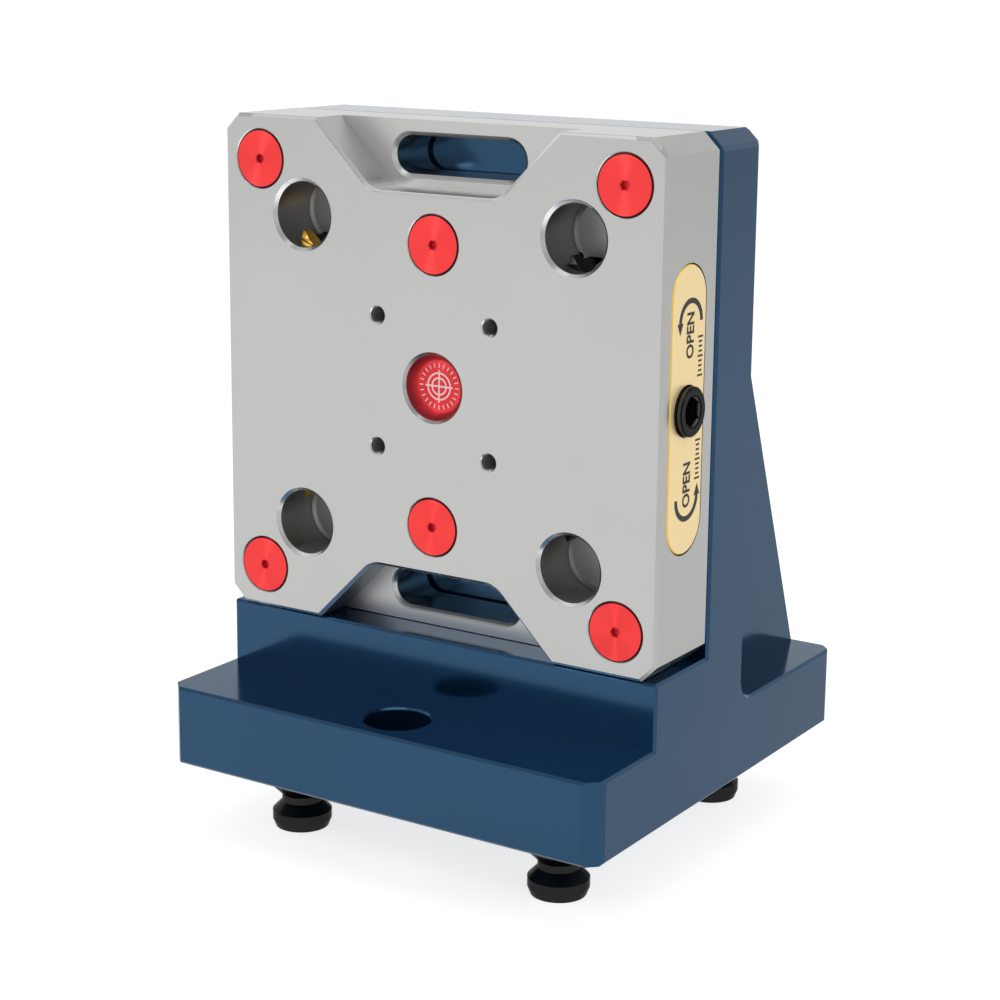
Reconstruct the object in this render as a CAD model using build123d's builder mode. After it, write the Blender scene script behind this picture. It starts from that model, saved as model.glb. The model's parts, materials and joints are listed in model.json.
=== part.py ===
from build123d import *
import os
from math import cos, radians, sin, sqrt, tan

# Every length is in millimetres. X points right, Y to the back and Z up, and the origin is the
# centre of the four pull studs on the underside of the slab.

# Base body: slab, step, upright and ribs
body_width = 155.0
slab_depth = 155.0
slab_thickness = 25.0
body_corner = 4.5
body_edge = 0.8
step_setback = 33.0
step_height = 20.0
upright_setback = 64.0
upright_thickness = 23.3
rib_spread = 125.0
rib_thickness = 20.0
rib_toe_inset = 1.5
rib_top_inset = 3.0
pocket_radius = 7.5

# Slab hold-down holes
slab_hole_setback = 14.5
slab_hole_radius = 6.75
slab_counterbore_radius = 10.0
slab_counterbore_depth = 13.0
slab_hole_chamfer = 0.6

# Receiver plate
plate_margin = 29.5
plate_thickness = 32.0
plate_corner = 5.0
plate_front_chamfer = 1.0
plate_back_chamfer = 2.2
ledge_gap = 0.2

# Recesses at the top and bottom of the receiver plate, and the obround slots in their webs
recess_depth = 13.3
recess_floor_inset = 20.2
recess_floor_half = 22.3
recess_radius = 8.0
slot_inset = 10.5
slot_length = 46.0
slot_width = 11.5
slot_front_chamfer = 1.2
slot_back_chamfer = 1.5

# Receiver bores for pull studs
stud_pitch = 96.0
land_radius = 10.15
land_depth = 6.5
relief_radius = 10.4
bore_depth = 18.2
bore_mouth_chamfer = 1.0
bore_floor_chamfer = 0.9

# Threaded holes in the plate's face
face_thread_pitch = 40.0
face_thread_radius = 2.5
face_thread_depth = 12.0
face_countersink_radius = 2.9

# Plate screws, their caps and the cap seals
corner_screw_inset = 13.5
middle_screw_inset = 35.0
plate_screw_radius = 5.0
plate_screw_head_radius = 8.0
plate_screw_head_height = 10.0
plate_screw_socket = 8.0
plate_screw_socket_depth = 5.0
plate_screw_bite = 17.0
plate_screw_bite_spare = 3.0
plate_clearance_radius = 5.5
cap_bore_radius = 9.0
cap_thickness = 4.2
cap_chamfer = 0.45
cap_socket = 2.5
cap_socket_depth = 1.6
cap_bore_chamfer = 0.3
cap_to_screw = 0.3
seal_section_radius = 0.5
seal_setback = 2.5
seal_room = 0.15

# Centre cap
centre_bore_radius = 10.0
centre_bore_depth = 5.5
centre_bore_chamfer = 0.8
centre_rim = 0.35
centre_dish_radius = 8.0
centre_dish_depth = 2.9
centre_back_gap = 0.1

# Dowels between the receiver plate and the upright
dowel_x = 36.0
dowel_z = 64.0
dowel_radius = 4.0
dowel_length = 20.0
dowel_in_plate = 8.0
dowel_end_gap = 0.5
dowel_chamfer = 0.5

# Actuating screw: one axis across the plate, with threads of opposite hand at its two ends
screw_depth = 14.3
right_thread_radius = 7.0
left_thread_radius = 5.0
thread_change_x = 22.0
end_journal_radius = 3.4
head_radius = 7.25
head_reach = 2.3
head_groove_setback = 1.35
head_groove_width = 0.4
head_groove_depth = 0.5
head_bevel_length = 0.35
head_bevel_depth = 0.35
head_socket = 8.0
head_socket_depth = 9.0
head_socket_lead = 0.8
collar_radius = 8.9
collar_length = 4.0

# Clamping motion: the screw draws the wedge nuts, and each nut lifts or lowers its two jaws
wedge_angle = 30.0
nut_travel = 6.0
nut_end_margin = 1.2
nut_front_wall = 2.0
foot_height = 17.5
rail_neck_width = 5.4
rail_neck_height = 2.2
rail_head_width = 9.0
rail_head_height = 2.8
rail_clearance = 0.15
foot_clearance = 0.1

# Jaws and the channels they run in
jaw_width = 11.6
jaw_front_depth = 7.1
jaw_tip_setback = 6.0
jaw_horn_flat = 0.6
jaw_lip_depth = 8.2
jaw_lip_thickness = 4.0
jaw_lip_length = 1.6
jaw_bevel_length = 2.2
channel_clearance = 0.2
channel_front_gap = 0.1
channel_setback = 7.3
nut_pocket_reach = 29.0
nut_pocket_gap = 1.0
nut_pocket_front_gap = 0.2
pocket_corner = 3.0

# Cover that closes the mechanism from behind
cover_thickness = 7.0
cover_sunk = 0.2
cover_side_wall = 5.5
cover_waist = 62.0
cover_lobe_width = 28.0
cover_lobe_lap = 4.3
cover_corner = 4.0
cover_gap = 0.15
mechanism_gap = 0.2
cover_screw_radius = 2.0
cover_screw_clearance_radius = 2.25
cover_screw_head_radius = 3.8
cover_screw_bite = 6.0
cover_screw_inset = 5.0
cover_screw_bite_spare = 2.0
cover_screw_socket = 2.5
cover_screw_socket_depth = 1.2

# Screw bearings: gland, thrust washers and end bush
gland_radius = 9.4
gland_seal_groove_width = 1.6
gland_seal_groove_depth = 1.1
gland_seal_section_radius = 0.45
gland_spanner_radius = 0.8
gland_spanner_depth = 2.0
washer_thickness = 1.0
washer_radius = 9.2
thrust_gap = 0.05
side_wall = 3.5
line_bore_radius = 7.3
bush_length = 8.5
end_float = 0.6

# Side plaque
plaque_pocket_length = 84.4
plaque_pocket_width = 20.6
plaque_pocket_depth = 1.0
plaque_thickness = 1.15
plaque_gap = 0.35
plaque_edge = 0.35
plaque_hole_clearance = 0.35

# Pull studs, each with a shoulder, a spigot and a threaded shank in the slab and a hex socket in its nose
stud_pilot_radius = 10.0
stud_pilot_length = 9.7
stud_waist_radius = 6.4
stud_waist_top = 13.3
stud_waist_bottom = 15.5
stud_band_radius = 9.4
stud_band_top = 18.6
stud_band_bottom = 21.5
stud_nose_radius = 8.5
stud_length = 23.8
stud_shoulder_depth = 0.5
stud_shoulder_gap = 0.6
stud_spigot_radius = 8.0
stud_seat_depth = 4.0
stud_seat_chamfer = 0.5
stud_shank_radius = 6.0
stud_shank_top = 20.0
stud_shank_spare = 2.0
stud_shank_chamfer = 0.8
stud_socket = 8.0
stud_socket_depth = 6.0
stud_socket_lead = 0.5

# Fits and broken edges
edge_break = 0.5
fit_clearance = 0.03
running_clearance = 0.05
thread_clearance = 0.05

# Places worked out from the sizes above
slab_front_y = -slab_depth / 2
step_front_y = slab_front_y + step_setback
upright_front_y = slab_front_y + upright_setback
upright_back_y = upright_front_y + upright_thickness
ledge_z = slab_thickness + step_height
plate_side = stud_pitch + 2 * plate_margin
body_height = ledge_z + plate_side
plate_front_y = upright_front_y - plate_thickness
plate_z = ledge_z + ledge_gap + plate_side / 2
side_x = plate_side / 2
stud_x = stud_pitch / 2
slab_hole_y = slab_depth / 2 - slab_hole_setback
recess_floor_height = plate_side / 2 - recess_floor_inset
slot_height = plate_side / 2 - slot_inset
corner_screw_reach = plate_side / 2 - corner_screw_inset
middle_screw_reach = plate_side / 2 - middle_screw_inset
jaw_tip_reach = stud_x - jaw_tip_setback
channel_reach = stud_x - channel_setback
cover_length = plate_side - 2 * cover_side_wall
cover_lobe_height = 2 * (channel_reach + cover_lobe_lap)
slope = tan(radians(wedge_angle))
cover_front_depth = plate_thickness - cover_sunk - cover_thickness
jaw_back_depth = cover_front_depth - mechanism_gap
nut_front_depth = screw_depth - right_thread_radius - running_clearance - nut_front_wall
nut_outer_x = stud_x + jaw_width / 2 + nut_end_margin
nut_length = jaw_width + nut_travel + 2 * nut_end_margin
nut_inner_x = nut_outer_x - nut_length
pocket_inner_x = nut_inner_x - nut_pocket_gap
pocket_outer_x = nut_outer_x + nut_travel + nut_pocket_gap
gland_bore_x = pocket_outer_x + side_wall
plaque_floor_x = side_x - plaque_pocket_depth
collar_x = gland_bore_x + washer_thickness + 2 * thrust_gap
outer_washer_x = collar_x + collar_length + thrust_gap
gland_x = outer_washer_x + washer_thickness + thrust_gap
head_face_x = side_x + head_reach
bush_end_x = -pocket_outer_x - bush_length
plaque_hole_radius = head_radius + plaque_hole_clearance
cap_radius = cap_bore_radius - running_clearance
screw_head_depth = cap_thickness + cap_to_screw
counterbore_depth = screw_head_depth + plate_screw_head_height

# The plate's front face seen from the front: X right, Z up, centred on the plate
plate_face = Plane(origin=(0, plate_front_y, plate_z), x_dir=(1, 0, 0), z_dir=(0, -1, 0))
plate_back = Plane(origin=(0, upright_front_y, plate_z), x_dir=(-1, 0, 0), z_dir=(0, 1, 0))
screw_section = Plane(
    origin=(0, plate_front_y + screw_depth, plate_z), x_dir=(1, 0, 0), z_dir=(0, -1, 0)
)
screw_axis = Axis((0, plate_front_y + screw_depth, plate_z), (1, 0, 0))
right_side = Plane(origin=(side_x, plate_front_y + screw_depth, plate_z), x_dir=(0, 1, 0), z_dir=(1, 0, 0))

plate_screw_places = [
    (x * corner_screw_reach, z * corner_screw_reach) for z in (1, -1) for x in (-1, 1)
] + [(0, middle_screw_reach), (0, -middle_screw_reach)]
dowel_places = [(-dowel_x, dowel_z), (dowel_x, -dowel_z)]
cover_lobe_screw_x = stud_x - cover_lobe_width / 2 + cover_screw_inset
cover_lobe_screw_z = cover_lobe_height / 2 - cover_screw_inset
cover_end_screw_x = cover_length / 2 - cover_screw_inset
cover_end_screw_z = cover_waist / 2 - cover_screw_inset
cover_screw_places = [
    (x * across, z * up)
    for across, up in ((cover_lobe_screw_x, cover_lobe_screw_z), (cover_end_screw_x, cover_end_screw_z))
    for x in (-1, 1)
    for z in (-1, 1)
] + [(0, -cover_end_screw_z), (0, cover_end_screw_z)]


def save(part, name):
    """Labels a finished piece and writes its STEP file."""
    part.label = name
    export_step(part, f"parts/{name}.step")


def at_depth(depth):
    """The plane at this depth behind the plate's front face, facing forward."""
    return plate_face.offset(-depth)


def cover_outline(growth):
    """Outline of the mechanism cover, two lobes over the jaw channels joined by a waist."""
    with BuildSketch() as outline:
        Rectangle(cover_length, cover_waist)
        with GridLocations(stud_pitch, 1, 2, 1):
            Rectangle(cover_lobe_width, cover_lobe_height)
        fillet(vertices(), cover_corner)
        if growth:
            offset(amount=growth)
    return outline.sketch


os.makedirs("parts", exist_ok=True)

# Fixture body
upright_face = Plane(origin=(0, upright_front_y, 0), x_dir=(1, 0, 0), z_dir=(0, -1, 0))
rib_toe_y = slab_depth / 2 - rib_toe_inset
rib_top_z = body_height - rib_top_inset
with BuildPart() as fixture_body:
    with BuildSketch():
        Rectangle(body_width, slab_depth)
        chamfer(vertices(), body_corner)
    extrude(amount=slab_thickness)
    with BuildSketch(upright_face):
        with Locations((0, body_height / 2)):
            Rectangle(body_width, body_height)
        chamfer(vertices().group_by(Axis.Y)[-1], body_corner)
    extrude(amount=-upright_thickness)
    with BuildSketch(Plane.XY.offset(slab_thickness)):
        with Locations((0, (step_front_y + upright_front_y) / 2)):
            Rectangle(body_width, upright_front_y - step_front_y)
    extrude(amount=step_height)
    for side in (-1, 1):
        with BuildSketch(Plane.YZ.offset(side * (rib_spread - rib_thickness) / 2)):
            with BuildLine():
                Polyline(
                    (upright_front_y, 0),
                    (rib_toe_y, 0),
                    (rib_toe_y, slab_thickness),
                    (upright_back_y, rib_top_z),
                    (upright_front_y, rib_top_z),
                    close=True,
                )
            make_face()
        extrude(amount=rib_thickness / 2, both=True)
    foot_of_upright = (
        edges()
        .filter_by(Axis.X)
        .filter_by_position(Axis.Y, upright_back_y, upright_back_y, (True, True))
        .filter_by_position(Axis.Z, slab_thickness, slab_thickness, (True, True))
    )
    fillet(foot_of_upright, pocket_radius)
    sides = faces().filter_by(Plane.YZ).group_by(Axis.X)
    chamfer(sides[0].edges() + sides[-1].edges(), body_edge)
    long_edges = edges().filter_by(Axis.X).filter_by(lambda e: e.length > body_width - 2.1 * body_corner)
    step_foot = long_edges.filter_by_position(Axis.Z, slab_thickness, slab_thickness).sort_by(Axis.Y)[1:2]
    ledge_foot = long_edges.filter_by_position(Axis.Z, ledge_z, ledge_z).sort_by(Axis.Y)[1:2]
    chamfer(long_edges - step_foot - ledge_foot, body_edge)
    # Hold-down holes in the slab
    with BuildSketch(Plane.XY.offset(slab_thickness)):
        with GridLocations(1, 2 * slab_hole_y, 1, 2):
            Circle(slab_counterbore_radius)
    extrude(amount=-slab_counterbore_depth, mode=Mode.SUBTRACT)
    with BuildSketch():
        with GridLocations(1, 2 * slab_hole_y, 1, 2):
            Circle(slab_hole_radius)
    extrude(amount=slab_thickness, mode=Mode.SUBTRACT)
    mouths = edges().filter_by(GeomType.CIRCLE).filter_by_position(Axis.Z, slab_thickness, slab_thickness)
    chamfer(mouths, slab_hole_chamfer)
    # Spot faces, seats and threads for the pull studs
    with BuildSketch():
        with GridLocations(stud_pitch, stud_pitch, 2, 2):
            Circle(stud_pilot_radius + stud_shoulder_gap)
    extrude(amount=stud_shoulder_depth, mode=Mode.SUBTRACT)
    with BuildSketch():
        with GridLocations(stud_pitch, stud_pitch, 2, 2):
            Circle(stud_spigot_radius + fit_clearance)
    extrude(amount=stud_seat_depth, mode=Mode.SUBTRACT)
    with BuildSketch(Plane.XY.offset(stud_seat_depth)):
        with GridLocations(stud_pitch, stud_pitch, 2, 2):
            Circle(stud_shank_radius + thread_clearance)
    extrude(amount=stud_shank_top + stud_shank_spare - stud_seat_depth, mode=Mode.SUBTRACT)
    # Threads and dowel holes for the receiver plate
    with BuildSketch(plate_face.offset(-plate_thickness)):
        with Locations(*plate_screw_places):
            Circle(plate_screw_radius + thread_clearance)
    extrude(amount=-(plate_screw_bite + plate_screw_bite_spare), mode=Mode.SUBTRACT)
    with BuildSketch(plate_face.offset(-plate_thickness)):
        with Locations(*dowel_places):
            Circle(dowel_radius + fit_clearance)
    extrude(amount=-(dowel_length - dowel_in_plate + dowel_end_gap), mode=Mode.SUBTRACT)
save(fixture_body.part, "fixture_body")

# Cutter for one receiver bore, its mouth on the local XY plane and its floor below
with BuildPart() as bore_cutter:
    with BuildSketch(Plane.XZ):
        with BuildLine():
            Polyline(
                (0, 1),
                (land_radius + bore_mouth_chamfer + 1, 1),
                (land_radius, -bore_mouth_chamfer),
                (land_radius, -land_depth),
                (relief_radius, -land_depth),
                (relief_radius, bore_floor_chamfer - bore_depth),
                (relief_radius - bore_floor_chamfer, -bore_depth),
                (0, -bore_depth),
                close=True,
            )
        make_face()
    revolve(axis=Axis.Z)

# Receiver plate
with BuildPart() as receiver_plate:
    with BuildSketch(plate_face):
        Rectangle(plate_side, plate_side)
        chamfer(vertices(), plate_corner)
    extrude(amount=-plate_thickness)
    chamfer(faces().sort_by(Axis.Y)[-1].edges(), plate_back_chamfer)
    # Recesses with slanted sides, open at the top and at the bottom
    for level in (-1, 1):
        rim = plate_side / 2 - recess_floor_height + 1
        with BuildSketch(plate_face):
            with BuildLine():
                Polyline(
                    (-recess_floor_half - rim, level * (recess_floor_height + rim)),
                    (-recess_floor_half, level * recess_floor_height),
                    (recess_floor_half, level * recess_floor_height),
                    (recess_floor_half + rim, level * (recess_floor_height + rim)),
                    close=True,
                )
            make_face()
            floor_corners = vertices().sort_by(lambda v: abs(v.Y))[:2]
            fillet(floor_corners, recess_radius)
        extrude(amount=-recess_depth, mode=Mode.SUBTRACT)
    chamfer(faces().sort_by(Axis.Y)[0].edges(), plate_front_chamfer)
    # Slots through the webs of the recesses
    with BuildSketch(at_depth(recess_depth)):
        with GridLocations(1, 2 * slot_height, 1, 2):
            SlotOverall(slot_length, slot_width)
    extrude(amount=recess_depth - plate_thickness, mode=Mode.SUBTRACT)
    slot_rims = edges(Select.LAST).group_by(Axis.Y)
    chamfer(slot_rims[0], slot_front_chamfer)
    chamfer(slot_rims[-1], slot_back_chamfer)
    # Receiver bores
    with Locations(plate_face):
        with GridLocations(stud_pitch, stud_pitch, 2, 2):
            add(bore_cutter.part, mode=Mode.SUBTRACT)
    # Jaw channels, nut pockets and the seat of the cover, all milled from the back
    channel_front = jaw_front_depth - channel_front_gap
    with BuildSketch(at_depth(channel_front)):
        with GridLocations(stud_pitch, 1, 2, 1):
            Rectangle(jaw_width + 2 * channel_clearance, 2 * channel_reach)
    extrude(amount=channel_front - cover_front_depth, mode=Mode.SUBTRACT)
    pocket_front = nut_front_depth - nut_pocket_front_gap
    with BuildSketch(at_depth(pocket_front)):
        with GridLocations(pocket_inner_x + pocket_outer_x, 1, 2, 1):
            RectangleRounded(pocket_outer_x - pocket_inner_x, 2 * nut_pocket_reach, pocket_corner)
    extrude(amount=pocket_front - cover_front_depth, mode=Mode.SUBTRACT)
    with BuildSketch(at_depth(cover_front_depth)):
        add(cover_outline(cover_gap))
    extrude(amount=cover_front_depth - plate_thickness, mode=Mode.SUBTRACT)
    with BuildSketch(at_depth(cover_front_depth)):
        with Locations(*cover_screw_places):
            Circle(cover_screw_radius + thread_clearance)
    extrude(amount=cover_screw_bite + cover_screw_bite_spare, mode=Mode.SUBTRACT)
    # Line bore of the screw, the gland's bore and the pocket of the side plaque
    with BuildSketch(right_side.offset(bush_end_x - side_x)):
        Circle(line_bore_radius)
    extrude(amount=gland_bore_x - bush_end_x, mode=Mode.SUBTRACT)
    with BuildSketch(right_side):
        Circle(gland_radius + fit_clearance)
    extrude(amount=gland_bore_x - side_x, mode=Mode.SUBTRACT)
    with BuildSketch(right_side):
        SlotOverall(plaque_pocket_length, plaque_pocket_width, rotation=90)
    extrude(amount=-plaque_pocket_depth, mode=Mode.SUBTRACT)
    # Counterbored holes for the plate screws, wide enough at the mouth for the caps
    with BuildSketch(plate_face):
        with Locations(*plate_screw_places):
            Circle(cap_bore_radius)
    extrude(amount=-counterbore_depth, mode=Mode.SUBTRACT)
    chamfer(edges(Select.LAST).group_by(Axis.Y)[0], cap_bore_chamfer)
    with BuildSketch(plate_face):
        with Locations(*plate_screw_places):
            Circle(plate_clearance_radius)
    extrude(amount=-plate_thickness, mode=Mode.SUBTRACT)
    # Centre bore, threaded holes in the face and dowel holes in the back
    with BuildSketch(plate_face):
        Circle(centre_bore_radius)
    extrude(amount=-centre_bore_depth, mode=Mode.SUBTRACT)
    chamfer(edges(Select.LAST).group_by(Axis.Y)[0], centre_bore_chamfer)
    with BuildSketch(plate_face):
        with GridLocations(face_thread_pitch, face_thread_pitch, 2, 2):
            Circle(face_thread_radius)
    extrude(amount=-face_thread_depth, mode=Mode.SUBTRACT)
    chamfer(edges(Select.LAST).group_by(Axis.Y)[0], face_countersink_radius - face_thread_radius)
    with BuildSketch(at_depth(plate_thickness)):
        with Locations(*dowel_places):
            Circle(dowel_radius + fit_clearance)
    extrude(amount=dowel_in_plate + dowel_end_gap, mode=Mode.SUBTRACT)
save(receiver_plate.part, "receiver_plate")

# Mechanism cover
with BuildPart() as mechanism_cover:
    with BuildSketch(at_depth(cover_front_depth)):
        add(cover_outline(0))
    extrude(amount=-cover_thickness)
    with Locations(plate_back.offset(-cover_sunk)):
        with Locations(*[(-x, z) for x, z in cover_screw_places]):
            CounterSinkHole(
                cover_screw_clearance_radius, cover_screw_head_radius + fit_clearance, cover_thickness
            )
save(mechanism_cover.part, "mechanism_cover")


def socket_screw(head_radius, head_height, shank_radius, shank_length, socket, socket_depth):
    """A cap screw about the local Z axis, its head below the origin and its shank above."""
    with BuildPart() as screw:
        with BuildSketch(Plane.XZ):
            with BuildLine():
                Polyline(
                    (0, -head_height),
                    (head_radius - edge_break, -head_height),
                    (head_radius, edge_break - head_height),
                    (head_radius, 0),
                    (shank_radius, 0),
                    (shank_radius, shank_length - edge_break),
                    (shank_radius - edge_break, shank_length),
                    (0, shank_length),
                    close=True,
                )
            make_face()
        revolve(axis=Axis.Z)
        with BuildSketch(Plane.XY.offset(-head_height)):
            RegularPolygon(socket / 2, 6, major_radius=False)
        extrude(amount=socket_depth, mode=Mode.SUBTRACT)
    return screw.part


# Cover screws, countersunk flush with the cover's back
with BuildPart() as cover_screw:
    with BuildSketch(Plane.XZ):
        with BuildLine():
            Polyline(
                (0, 0),
                (cover_screw_head_radius, 0),
                (cover_screw_radius, -(cover_screw_head_radius - cover_screw_radius)),
                (cover_screw_radius, -cover_thickness - cover_screw_bite),
                (0, -cover_thickness - cover_screw_bite),
                close=True,
            )
        make_face()
    revolve(axis=Axis.Z)
    with BuildSketch():
        RegularPolygon(cover_screw_socket / 2, 6, major_radius=False)
    extrude(amount=-cover_screw_socket_depth, mode=Mode.SUBTRACT)
with BuildPart() as cover_screws:
    with Locations(plate_back.offset(-cover_sunk)):
        with Locations(*[(-x, z) for x, z in cover_screw_places]):
            add(cover_screw.part)
save(cover_screws.part, "cover_screws")

# Actuating screw, turned along the local X axis, with a hex socket in its head
groove_x = head_face_x - head_groove_setback
with BuildPart() as actuating_screw:
    with BuildSketch(screw_section):
        with BuildLine():
            Polyline(
                (bush_end_x + end_float, 0),
                (bush_end_x + end_float, end_journal_radius - edge_break),
                (bush_end_x + end_float + edge_break, end_journal_radius),
                (-pocket_outer_x, end_journal_radius),
                (-pocket_outer_x, left_thread_radius),
                (thread_change_x, left_thread_radius),
                (thread_change_x, right_thread_radius),
                (collar_x, right_thread_radius),
                (collar_x, collar_radius),
                (collar_x + collar_length, collar_radius),
                (collar_x + collar_length, head_radius),
                (groove_x - head_groove_width, head_radius),
                (groove_x - head_groove_width, head_radius - head_groove_depth),
                (groove_x, head_radius - head_groove_depth),
                (groove_x, head_radius),
                (head_face_x - head_bevel_length, head_radius),
                (head_face_x, head_radius - head_bevel_depth),
                (head_face_x, 0),
                close=True,
            )
        make_face()
    revolve(axis=screw_axis)
    with BuildSketch(right_side.offset(head_reach)):
        RegularPolygon(head_socket / 2, 6, major_radius=False, rotation=30)
    extrude(amount=-head_socket_depth, mode=Mode.SUBTRACT)
    with BuildSketch(right_side.offset(head_reach)):
        Circle(head_socket / sqrt(3) + head_socket_lead / 2)
    extrude(amount=-head_socket_lead, taper=45, mode=Mode.SUBTRACT)
save(actuating_screw.part, "actuating_screw")


def ring(x, length, outer_radius, inner_radius):
    """A plain ring on the screw's axis, from x towards the right side."""
    with BuildPart() as piece:
        with BuildSketch(right_side.offset(x - side_x)):
            Circle(outer_radius)
            Circle(inner_radius, mode=Mode.SUBTRACT)
        extrude(amount=length)
    return piece.part


# Screw gland with an inner groove for its seal and two spanner holes under the plaque
gland_length = plaque_floor_x - fit_clearance - gland_x
gland_bore_radius = head_radius + running_clearance
seal_groove_radius = gland_bore_radius + gland_seal_groove_depth
seal_groove_x = gland_x + (gland_length - gland_seal_groove_width) / 2
with BuildPart() as screw_gland:
    add(ring(gland_x, gland_length, gland_radius, gland_bore_radius))
    add(ring(seal_groove_x, gland_seal_groove_width, seal_groove_radius, head_radius), mode=Mode.SUBTRACT)
    with BuildSketch(right_side.offset(gland_x + gland_length - side_x)):
        with PolarLocations((gland_radius + gland_bore_radius) / 2, 2):
            Circle(gland_spanner_radius)
    extrude(amount=-gland_spanner_depth / 2, mode=Mode.SUBTRACT)
save(screw_gland.part, "screw_gland")

with BuildPart() as gland_seal:
    seal_x = seal_groove_x + gland_seal_groove_width / 2
    seal_radius = (head_radius + seal_groove_radius) / 2
    with Locations(right_side.offset(seal_x - side_x)):
        Torus(seal_radius, gland_seal_section_radius)
save(gland_seal.part, "gland_seal")

with BuildPart() as thrust_washers:
    add(ring(gland_bore_x, washer_thickness, washer_radius, line_bore_radius))
    add(ring(outer_washer_x, washer_thickness, washer_radius, gland_bore_radius))
save(thrust_washers.part, "thrust_washers")

with BuildPart() as screw_end_bush:
    bush_radius = line_bore_radius - fit_clearance
    add(ring(bush_end_x, bush_length, bush_radius, end_journal_radius + running_clearance))
save(screw_end_bush.part, "screw_end_bush")


def inclined(side, level):
    """Plane square to a nut's incline, its X along the plate's depth and its Y towards the jaw."""
    return Plane(
        origin=(side * stud_x, plate_front_y + screw_depth, plate_z + level * foot_height),
        x_dir=(0, side * level, 0),
        z_dir=(side * cos(radians(wedge_angle)), 0, level * sin(radians(wedge_angle))),
    )


def rail_profile(gap):
    """Section of the T rail that holds a jaw to its nut, grown by the gap on every side."""
    with BuildSketch() as profile:
        with Locations((0, rail_neck_height / 2)):
            Rectangle(rail_neck_width + 2 * gap, rail_neck_height + 2 * gap + 2 * foot_clearance)
        with Locations((0, rail_neck_height + rail_head_height / 2)):
            Rectangle(rail_head_width + 2 * gap, rail_head_height + 2 * gap)
    return profile.sketch


def wedge_nut(side, thread_radius):
    """A nut on the screw with an inclined face and a T rail towards each of its two jaws."""
    inner, outer = side * nut_inner_x, side * nut_outer_x
    inner_height = foot_height + (nut_inner_x - stud_x) * slope
    outer_height = foot_height + (nut_outer_x - stud_x) * slope
    with BuildPart() as nut:
        for level in (-1, 1):
            with BuildSketch(inclined(side, level)):
                add(rail_profile(0))
            extrude(amount=nut_length, both=True)
        with BuildSketch(at_depth(nut_front_depth)):
            with BuildLine():
                Polyline(
                    (inner, inner_height),
                    (outer, outer_height),
                    (outer, -outer_height),
                    (inner, -inner_height),
                    close=True,
                )
            make_face()
        extrude(amount=nut_front_depth - jaw_back_depth)
        with Locations(((inner + outer) / 2, plate_front_y + screw_depth, plate_z)):
            Box(nut_length, plate_thickness, 4 * foot_height, mode=Mode.INTERSECT)
        with BuildSketch(right_side.offset(min(inner, outer) - side_x)):
            Circle(thread_radius + running_clearance)
        extrude(amount=nut_length, mode=Mode.SUBTRACT)
    return nut.part


def jaw(side, level):
    """A jaw bar: T slot and incline at its foot, a lip with a square notch at its nose."""
    left, right = side * stud_x - jaw_width / 2, side * stud_x + jaw_width / 2
    horn = jaw_width / 2 - jaw_horn_flat
    foot_centre = foot_height + foot_clearance / cos(radians(wedge_angle))
    foot = [foot_centre + side * (x - side * stud_x) * slope for x in (left, right)]
    with BuildPart() as bar:
        with BuildSketch(at_depth(jaw_front_depth)):
            with BuildLine():
                Polyline(
                    (left, level * foot[0]),
                    (left, level * jaw_tip_reach),
                    (side * stud_x - horn, level * jaw_tip_reach),
                    (side * stud_x, level * (jaw_tip_reach - horn)),
                    (side * stud_x + horn, level * jaw_tip_reach),
                    (right, level * jaw_tip_reach),
                    (right, level * foot[1]),
                    close=True,
                )
            make_face()
        extrude(amount=jaw_front_depth - jaw_back_depth)
        # Relief behind the lip and bevel in front of it
        with BuildSketch(Plane.YZ.offset(left)):
            lip_back_y = plate_front_y + jaw_lip_depth + jaw_lip_thickness
            tip_z = plate_z + level * jaw_tip_reach
            with BuildLine():
                Polyline(
                    (lip_back_y, tip_z - level * jaw_lip_length),
                    (lip_back_y, tip_z + level),
                    (plate_front_y + jaw_back_depth + 1, tip_z + level),
                    (plate_front_y + jaw_back_depth + 1, tip_z - level * jaw_lip_length),
                    close=True,
                )
            make_face()
            with BuildLine():
                Polyline(
                    (plate_front_y + jaw_front_depth, tip_z - level * jaw_bevel_length),
                    (plate_front_y + jaw_front_depth, tip_z + level),
                    (plate_front_y + jaw_lip_depth, tip_z + level),
                    (plate_front_y + jaw_lip_depth, tip_z),
                    close=True,
                )
            make_face()
        extrude(amount=jaw_width, mode=Mode.SUBTRACT)
        with BuildSketch(inclined(side, level)):
            add(rail_profile(rail_clearance))
        extrude(amount=jaw_width, both=True, mode=Mode.SUBTRACT)
    return bar.part


for side, word, thread_radius in ((-1, "left", left_thread_radius), (1, "right", right_thread_radius)):
    save(wedge_nut(side, thread_radius), f"wedge_nut_{word}")
    save(jaw(side, 1), f"jaw_upper_{word}")
    save(jaw(side, -1), f"jaw_lower_{word}")

# Side plaque, let into the right side of the plate around the screw's head
with BuildPart() as side_plaque:
    with BuildSketch(right_side.offset(-plaque_pocket_depth)):
        SlotOverall(plaque_pocket_length - 2 * plaque_gap, plaque_pocket_width - 2 * plaque_gap, rotation=90)
        Circle(plaque_hole_radius, mode=Mode.SUBTRACT)
    extrude(amount=plaque_thickness)
    chamfer(faces().sort_by(Axis.X)[-1].outer_wire().edges(), plaque_edge)
save(side_plaque.part, "side_plaque")


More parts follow.
